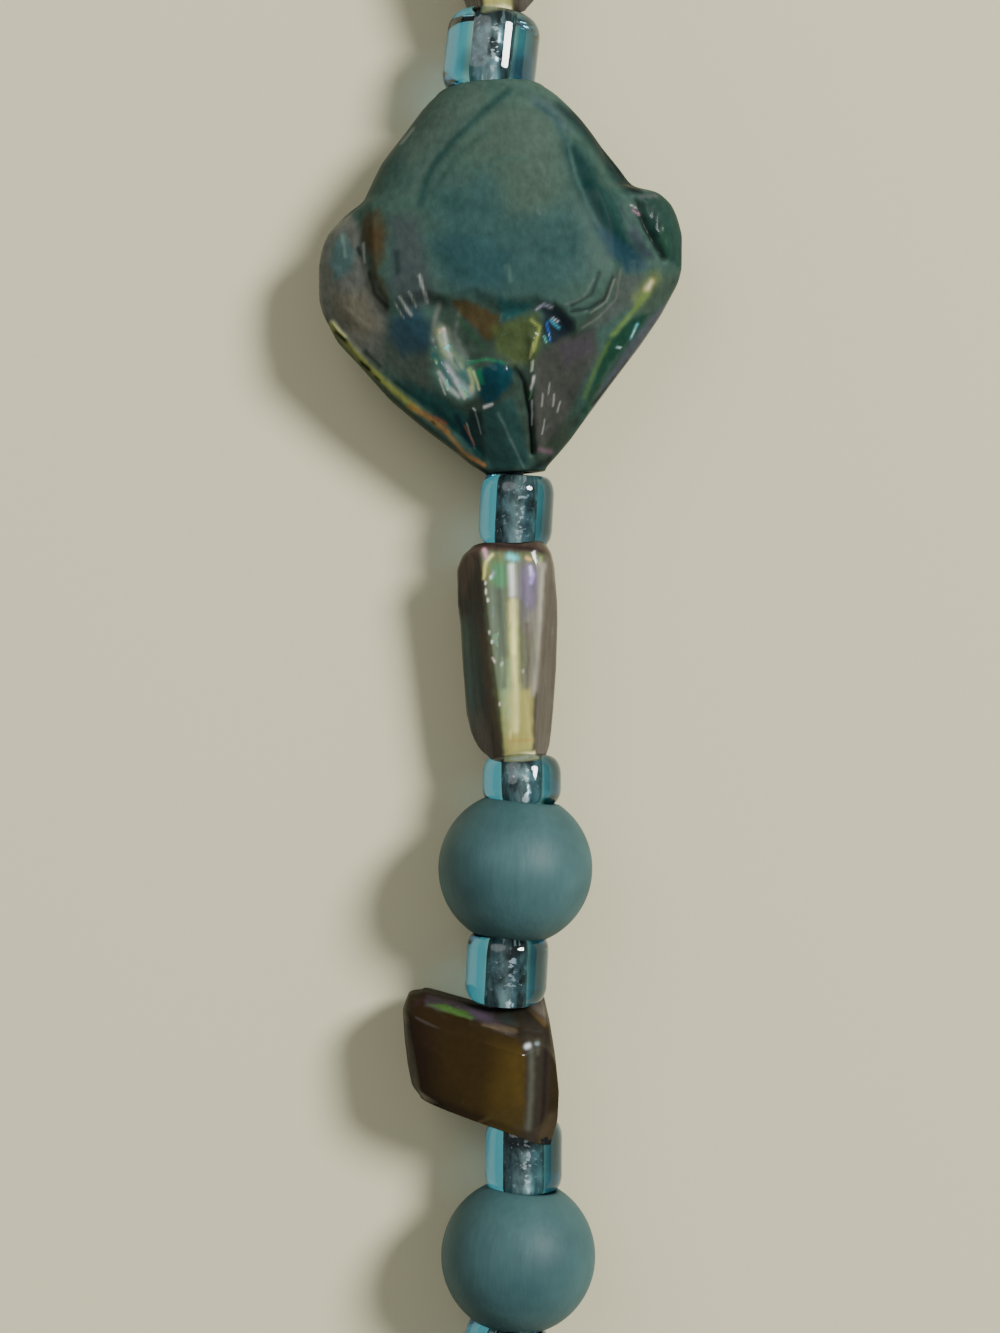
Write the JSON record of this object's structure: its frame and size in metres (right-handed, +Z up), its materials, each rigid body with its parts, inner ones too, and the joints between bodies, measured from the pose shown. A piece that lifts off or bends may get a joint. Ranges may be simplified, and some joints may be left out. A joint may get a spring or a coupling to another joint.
{
  "type": "beaded necklace",
  "caption": "Beaded necklace laid flat as one closed loop: large dyed shell nuggets, shell tubes, shell chips and painted wood rounds between glass spacers, with a barrel clasp.",
  "frame": {"origin": "middle of the loop's box on the surface that it lies on", "axes": "+Y along the oval's long way, +X towards the side that the picture shows, +Z up from the surface"},
  "size_m": [0.1146, 0.1728, 0.0082],
  "materials": {
    "dyed_shell": "satin, dyed teal with nacre patches",
    "dark_shell": "polished, iridescent",
    "olive_shell": "polished, iridescent edge",
    "painted_wood": "matt teal paint",
    "blue_glass": "clear, blue",
    "clasp_metal": "satin"
  },
  "bodies": {
    "root": {"nugget_1": "dyed_shell", "nugget_2": "dyed_shell", "nugget_3": "dyed_shell", "nugget_4": "dyed_shell", "nugget_5": "dyed_shell", "tube_1": "dark_shell", "tube_2": "dark_shell", "tube_3": "dark_shell", "tube_4": "dark_shell", "tube_5": "dark_shell", "tube_6": "dark_shell", "tube_7": "dark_shell", "tube_8": "dark_shell", "tube_9": "dark_shell", "tube_10": "dark_shell", "chip_1": "olive_shell", "chip_2": "olive_shell", "chip_3": "olive_shell", "chip_4": "olive_shell", "wood_1": "painted_wood", "wood_2": "painted_wood", "wood_3": "painted_wood", "wood_4": "painted_wood", "wood_5": "painted_wood", "wood_6": "painted_wood", "wood_7": "painted_wood", "wood_8": "painted_wood", "wood_9": "painted_wood", "wood_10": "painted_wood", "strand": "blue_glass", "clasp": "clasp_metal"}
  },
  "joints": []
}
